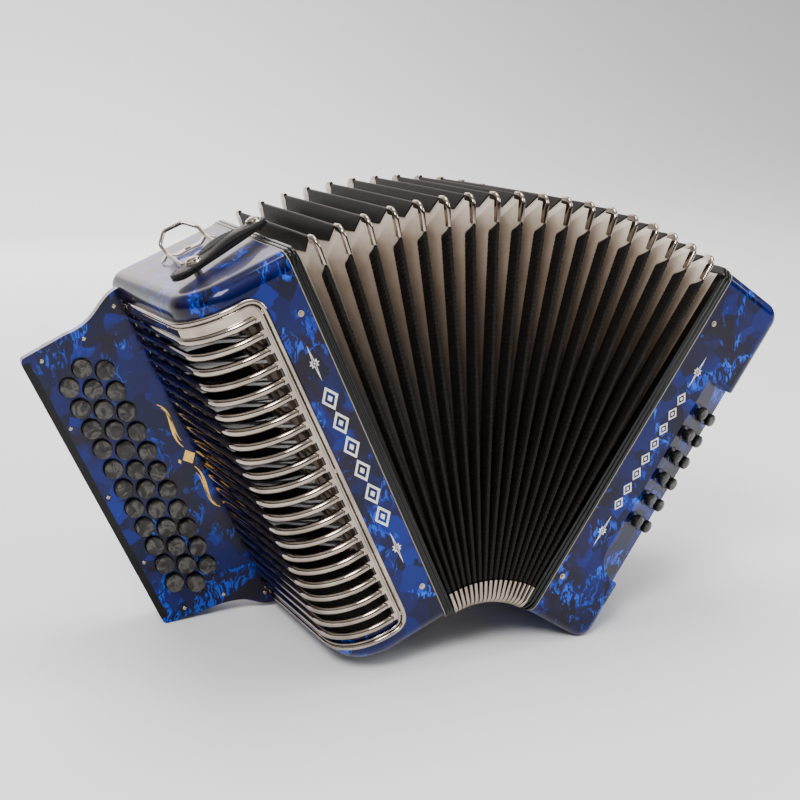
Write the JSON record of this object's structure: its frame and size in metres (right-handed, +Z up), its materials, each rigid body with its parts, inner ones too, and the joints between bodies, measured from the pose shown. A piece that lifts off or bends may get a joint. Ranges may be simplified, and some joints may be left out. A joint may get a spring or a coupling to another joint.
{
  "type": "button accordion",
  "caption": "Diatonic button accordion standing half open: two pearl casings joined by a fanned bellows, round treble buttons on a fingerboard, a chrome grille and slanted bass buttons.",
  "frame": {"origin": "on the floor, under the middle of the standing instrument's box", "axes": "+X from the treble side to the bass side, +Y from the front to the back, +Z up"},
  "size_m": [0.5722, 0.1961, 0.3553],
  "materials": {
    "pearl_blue": "blue pearl celluloid, polished",
    "board_blue": "blue pearl celluloid, polished",
    "chrome": "polished chrome",
    "brass": "polished brass",
    "black_lacquer": "black lacquer",
    "wood": "planed softwood",
    "lever_metal": "stamped aluminium with a grey pearl button",
    "button_grey": "grey pearl plastic",
    "steel": "bright steel rod",
    "tape": "ribbed black bellows tape",
    "card": "bellows card, pale paper",
    "leather": "black grained leather"
  },
  "bodies": {
    "treble": {"treble_casing": "pearl_blue", "treble_grille": "chrome", "treble_soundboard": "wood", "treble_reed_blocks": "wood", "fingerboard": "board_blue", "key_box": "pearl_blue", "key_axle": "steel", "treble_screws": "chrome", "strap_bracket": "chrome", "bellows_strap": "leather", "strap_snaps": "chrome", "bellows_frame_treble": "black_lacquer", "bellows_pleats": "card"},
    "fold_a": {"bellows_fold_a": "tape"},
    "fold_b": {"bellows_fold_b": "tape"},
    "fold_c": {"bellows_fold_c": "tape"},
    "bass": {"bellows_frame_bass": "black_lacquer", "bass_casing": "pearl_blue", "bass_soundboard": "wood", "bass_reed_blocks": "wood", "bass_hand_strap": "leather", "bass_pins": "brass"},
    "strap_ring": {"strap_ring": "chrome"},
    "bass_buttons_front": {"bass_buttons_front": "button_grey"},
    "bass_buttons_rear": {"bass_buttons_rear": "button_grey"},
    "air_button": {"air_button": "button_grey"},
    "treble_key_01": {"treble_key_01": "lever_metal"},
    "treble_key_02": {"treble_key_02": "lever_metal"},
    "treble_key_03": {"treble_key_03": "lever_metal"},
    "treble_key_04": {"treble_key_04": "lever_metal"},
    "treble_key_05": {"treble_key_05": "lever_metal"},
    "treble_key_06": {"treble_key_06": "lever_metal"},
    "treble_key_07": {"treble_key_07": "lever_metal"},
    "treble_key_08": {"treble_key_08": "lever_metal"},
    "treble_key_09": {"treble_key_09": "lever_metal"},
    "treble_key_10": {"treble_key_10": "lever_metal"},
    "treble_key_11": {"treble_key_11": "lever_metal"},
    "treble_key_12": {"treble_key_12": "lever_metal"},
    "treble_key_13": {"treble_key_13": "lever_metal"},
    "treble_key_14": {"treble_key_14": "lever_metal"},
    "treble_key_15": {"treble_key_15": "lever_metal"},
    "treble_key_16": {"treble_key_16": "lever_metal"},
    "treble_key_17": {"treble_key_17": "lever_metal"},
    "treble_key_18": {"treble_key_18": "lever_metal"},
    "treble_key_19": {"treble_key_19": "lever_metal"},
    "treble_key_20": {"treble_key_20": "lever_metal"},
    "treble_key_21": {"treble_key_21": "lever_metal"},
    "treble_key_22": {"treble_key_22": "lever_metal"},
    "treble_key_23": {"treble_key_23": "lever_metal"},
    "treble_key_24": {"treble_key_24": "lever_metal"},
    "treble_key_25": {"treble_key_25": "lever_metal"},
    "treble_key_26": {"treble_key_26": "lever_metal"},
    "treble_key_27": {"treble_key_27": "lever_metal"},
    "treble_key_28": {"treble_key_28": "lever_metal"},
    "treble_key_29": {"treble_key_29": "lever_metal"},
    "treble_key_30": {"treble_key_30": "lever_metal"},
    "treble_key_31": {"treble_key_31": "lever_metal"},
    "treble_key_32": {"treble_key_32": "lever_metal"},
    "treble_key_33": {"treble_key_33": "lever_metal"},
    "treble_key_34": {"treble_key_34": "lever_metal"}
  },
  "joints": [
    {"name": "bellows_a", "type": "hinge", "parent": "treble", "child": "fold_a", "pos_m": [0.008, 0, 0.0427], "axis": [0, -1, 0], "range_deg": [-3.68, 14.73], "deforming": ["bellows_pleats"]},
    {"name": "bellows_b", "type": "hinge", "parent": "fold_a", "child": "fold_b", "pos_m": [0.02246, 0, 0.04504], "axis": [0, -1, 0], "range_deg": [-3.08, 12.33]},
    {"name": "bellows_c", "type": "hinge", "parent": "fold_b", "child": "fold_c", "pos_m": [0.0375, 0, 0.04398], "axis": [0, -1, 0], "range_deg": [-3.85, 15.41]},
    {"name": "bellows_d", "type": "hinge", "parent": "fold_c", "child": "bass", "pos_m": [0.05296, 0, 0.03872], "axis": [0, -1, 0], "range_deg": [-3.68, 14.73]},
    {"name": "treble_key_01_press", "type": "hinge", "parent": "treble", "child": "treble_key_01", "pos_m": [-0.18139, 0.0658, 0.236], "axis": [0.3993, 0, -0.9168], "range_deg": [0, 2.59], "stiffness_Nm_per_rad": 0.3, "springref_deg": -5.73},
    {"name": "treble_key_02_press", "type": "hinge", "parent": "treble", "child": "treble_key_02", "pos_m": [-0.17401, 0.0658, 0.21904], "axis": [0.3993, 0, -0.9168], "range_deg": [0, 2.59], "stiffness_Nm_per_rad": 0.3, "springref_deg": -5.73},
    {"name": "treble_key_03_press", "type": "hinge", "parent": "treble", "child": "treble_key_03", "pos_m": [-0.16662, 0.0658, 0.20208], "axis": [0.3993, 0, -0.9168], "range_deg": [0, 2.59], "stiffness_Nm_per_rad": 0.3, "springref_deg": -5.73},
    {"name": "treble_key_04_press", "type": "hinge", "parent": "treble", "child": "treble_key_04", "pos_m": [-0.15923, 0.0658, 0.18512], "axis": [0.3993, 0, -0.9168], "range_deg": [0, 2.59], "stiffness_Nm_per_rad": 0.3, "springref_deg": -5.73},
    {"name": "treble_key_05_press", "type": "hinge", "parent": "treble", "child": "treble_key_05", "pos_m": [-0.15184, 0.0658, 0.16815], "axis": [0.3993, 0, -0.9168], "range_deg": [0, 2.59], "stiffness_Nm_per_rad": 0.3, "springref_deg": -5.73},
    {"name": "treble_key_06_press", "type": "hinge", "parent": "treble", "child": "treble_key_06", "pos_m": [-0.14446, 0.0658, 0.15119], "axis": [0.3993, 0, -0.9168], "range_deg": [0, 2.59], "stiffness_Nm_per_rad": 0.3, "springref_deg": -5.73},
    {"name": "treble_key_07_press", "type": "hinge", "parent": "treble", "child": "treble_key_07", "pos_m": [-0.13707, 0.0658, 0.13423], "axis": [0.3993, 0, -0.9168], "range_deg": [0, 2.59], "stiffness_Nm_per_rad": 0.3, "springref_deg": -5.73},
    {"name": "treble_key_08_press", "type": "hinge", "parent": "treble", "child": "treble_key_08", "pos_m": [-0.12968, 0.0658, 0.11727], "axis": [0.3993, 0, -0.9168], "range_deg": [0, 2.59], "stiffness_Nm_per_rad": 0.3, "springref_deg": -5.73},
    {"name": "treble_key_09_press", "type": "hinge", "parent": "treble", "child": "treble_key_09", "pos_m": [-0.12229, 0.0658, 0.10031], "axis": [0.3993, 0, -0.9168], "range_deg": [0, 2.59], "stiffness_Nm_per_rad": 0.3, "springref_deg": -5.73},
    {"name": "treble_key_10_press", "type": "hinge", "parent": "treble", "child": "treble_key_10", "pos_m": [-0.11491, 0.0658, 0.08335], "axis": [0.3993, 0, -0.9168], "range_deg": [0, 2.59], "stiffness_Nm_per_rad": 0.3, "springref_deg": -5.73},
    {"name": "treble_key_11_press", "type": "hinge", "parent": "treble", "child": "treble_key_11", "pos_m": [-0.10752, 0.0658, 0.06639], "axis": [0.3993, 0, -0.9168], "range_deg": [0, 2.59], "stiffness_Nm_per_rad": 0.3, "springref_deg": -5.73},
    {"name": "treble_key_12_press", "type": "hinge", "parent": "treble", "child": "treble_key_12", "pos_m": [-0.18507, 0.0658, 0.24443], "axis": [0.3993, 0, -0.9168], "range_deg": [0, 3.2], "stiffness_Nm_per_rad": 0.3, "springref_deg": -5.73},
    {"name": "treble_key_13_press", "type": "hinge", "parent": "treble", "child": "treble_key_13", "pos_m": [-0.17768, 0.0658, 0.22747], "axis": [0.3993, 0, -0.9168], "range_deg": [0, 3.2], "stiffness_Nm_per_rad": 0.3, "springref_deg": -5.73},
    {"name": "treble_key_14_press", "type": "hinge", "parent": "treble", "child": "treble_key_14", "pos_m": [-0.17029, 0.0658, 0.21051], "axis": [0.3993, 0, -0.9168], "range_deg": [0, 3.2], "stiffness_Nm_per_rad": 0.3, "springref_deg": -5.73},
    {"name": "treble_key_15_press", "type": "hinge", "parent": "treble", "child": "treble_key_15", "pos_m": [-0.1629, 0.0658, 0.19355], "axis": [0.3993, 0, -0.9168], "range_deg": [0, 3.2], "stiffness_Nm_per_rad": 0.3, "springref_deg": -5.73},
    {"name": "treble_key_16_press", "type": "hinge", "parent": "treble", "child": "treble_key_16", "pos_m": [-0.15552, 0.0658, 0.17659], "axis": [0.3993, 0, -0.9168], "range_deg": [0, 3.2], "stiffness_Nm_per_rad": 0.3, "springref_deg": -5.73},
    {"name": "treble_key_17_press", "type": "hinge", "parent": "treble", "child": "treble_key_17", "pos_m": [-0.14813, 0.0658, 0.15963], "axis": [0.3993, 0, -0.9168], "range_deg": [0, 3.2], "stiffness_Nm_per_rad": 0.3, "springref_deg": -5.73},
    {"name": "treble_key_18_press", "type": "hinge", "parent": "treble", "child": "treble_key_18", "pos_m": [-0.14074, 0.0658, 0.14267], "axis": [0.3993, 0, -0.9168], "range_deg": [0, 3.2], "stiffness_Nm_per_rad": 0.3, "springref_deg": -5.73},
    {"name": "treble_key_19_press", "type": "hinge", "parent": "treble", "child": "treble_key_19", "pos_m": [-0.13336, 0.0658, 0.12571], "axis": [0.3993, 0, -0.9168], "range_deg": [0, 3.2], "stiffness_Nm_per_rad": 0.3, "springref_deg": -5.73},
    {"name": "treble_key_20_press", "type": "hinge", "parent": "treble", "child": "treble_key_20", "pos_m": [-0.12597, 0.0658, 0.10875], "axis": [0.3993, 0, -0.9168], "range_deg": [0, 3.2], "stiffness_Nm_per_rad": 0.3, "springref_deg": -5.73},
    {"name": "treble_key_21_press", "type": "hinge", "parent": "treble", "child": "treble_key_21", "pos_m": [-0.11858, 0.0658, 0.09179], "axis": [0.3993, 0, -0.9168], "range_deg": [0, 3.2], "stiffness_Nm_per_rad": 0.3, "springref_deg": -5.73},
    {"name": "treble_key_22_press", "type": "hinge", "parent": "treble", "child": "treble_key_22", "pos_m": [-0.11119, 0.0658, 0.07482], "axis": [0.3993, 0, -0.9168], "range_deg": [0, 3.2], "stiffness_Nm_per_rad": 0.3, "springref_deg": -5.73},
    {"name": "treble_key_23_press", "type": "hinge", "parent": "treble", "child": "treble_key_23", "pos_m": [-0.1038, 0.0658, 0.05786], "axis": [0.3993, 0, -0.9168], "range_deg": [0, 3.2], "stiffness_Nm_per_rad": 0.3, "springref_deg": -5.73},
    {"name": "treble_key_24_press", "type": "hinge", "parent": "treble", "child": "treble_key_24", "pos_m": [-0.18119, 0.0658, 0.23554], "axis": [0.3993, 0, -0.9168], "range_deg": [0, 4.18], "stiffness_Nm_per_rad": 0.3, "springref_deg": -5.73},
    {"name": "treble_key_25_press", "type": "hinge", "parent": "treble", "child": "treble_key_25", "pos_m": [-0.17381, 0.0658, 0.21858], "axis": [0.3993, 0, -0.9168], "range_deg": [0, 4.18], "stiffness_Nm_per_rad": 0.3, "springref_deg": -5.73},
    {"name": "treble_key_26_press", "type": "hinge", "parent": "treble", "child": "treble_key_26", "pos_m": [-0.16642, 0.0658, 0.20162], "axis": [0.3993, 0, -0.9168], "range_deg": [0, 4.18], "stiffness_Nm_per_rad": 0.3, "springref_deg": -5.73},
    {"name": "treble_key_27_press", "type": "hinge", "parent": "treble", "child": "treble_key_27", "pos_m": [-0.15903, 0.0658, 0.18466], "axis": [0.3993, 0, -0.9168], "range_deg": [0, 4.18], "stiffness_Nm_per_rad": 0.3, "springref_deg": -5.73},
    {"name": "treble_key_28_press", "type": "hinge", "parent": "treble", "child": "treble_key_28", "pos_m": [-0.15164, 0.0658, 0.1677], "axis": [0.3993, 0, -0.9168], "range_deg": [0, 4.18], "stiffness_Nm_per_rad": 0.3, "springref_deg": -5.73},
    {"name": "treble_key_29_press", "type": "hinge", "parent": "treble", "child": "treble_key_29", "pos_m": [-0.14426, 0.0658, 0.15074], "axis": [0.3993, 0, -0.9168], "range_deg": [0, 4.18], "stiffness_Nm_per_rad": 0.3, "springref_deg": -5.73},
    {"name": "treble_key_30_press", "type": "hinge", "parent": "treble", "child": "treble_key_30", "pos_m": [-0.13687, 0.0658, 0.13378], "axis": [0.3993, 0, -0.9168], "range_deg": [0, 4.18], "stiffness_Nm_per_rad": 0.3, "springref_deg": -5.73},
    {"name": "treble_key_31_press", "type": "hinge", "parent": "treble", "child": "treble_key_31", "pos_m": [-0.12948, 0.0658, 0.11681], "axis": [0.3993, 0, -0.9168], "range_deg": [0, 4.18], "stiffness_Nm_per_rad": 0.3, "springref_deg": -5.73},
    {"name": "treble_key_32_press", "type": "hinge", "parent": "treble", "child": "treble_key_32", "pos_m": [-0.12209, 0.0658, 0.09985], "axis": [0.3993, 0, -0.9168], "range_deg": [0, 4.18], "stiffness_Nm_per_rad": 0.3, "springref_deg": -5.73},
    {"name": "treble_key_33_press", "type": "hinge", "parent": "treble", "child": "treble_key_33", "pos_m": [-0.11471, 0.0658, 0.08289], "axis": [0.3993, 0, -0.9168], "range_deg": [0, 4.18], "stiffness_Nm_per_rad": 0.3, "springref_deg": -5.73},
    {"name": "treble_key_34_press", "type": "hinge", "parent": "treble", "child": "treble_key_34", "pos_m": [-0.10732, 0.0658, 0.06593], "axis": [0.3993, 0, -0.9168], "range_deg": [0, 4.18], "stiffness_Nm_per_rad": 0.3, "springref_deg": -5.73},
    {"name": "bass_buttons_front_press", "type": "slide", "parent": "bass", "child": "bass_buttons_front", "axis": [-0.3118, 0.9272, 0.2076], "range_m": [0, 0.003], "stiffness_N_per_m": 400, "springref_m": -0.005},
    {"name": "bass_buttons_rear_press", "type": "slide", "parent": "bass", "child": "bass_buttons_rear", "axis": [-0.3118, 0.9272, 0.2076], "range_m": [0, 0.003], "stiffness_N_per_m": 400, "springref_m": -0.005},
    {"name": "air_button_press", "type": "slide", "parent": "bass", "child": "air_button", "axis": [-0.8324, 0, 0.5542], "range_m": [0, 0.003], "stiffness_N_per_m": 300, "springref_m": -0.005},
    {"name": "strap_ring_swing", "type": "hinge", "parent": "treble", "child": "strap_ring", "pos_m": [-0.1636, 0.0388, 0.31159], "axis": [-0.9168, 0, -0.3993], "range_deg": [0, 12]}
  ],
  "couplings": [
    {"joint": "bellows_b", "follows": "bellows_a", "ratio": 0.83705},
    {"joint": "bellows_c", "follows": "bellows_a", "ratio": 1.0463},
    {"joint": "bellows_d", "follows": "bellows_a", "ratio": 1}
  ]
}
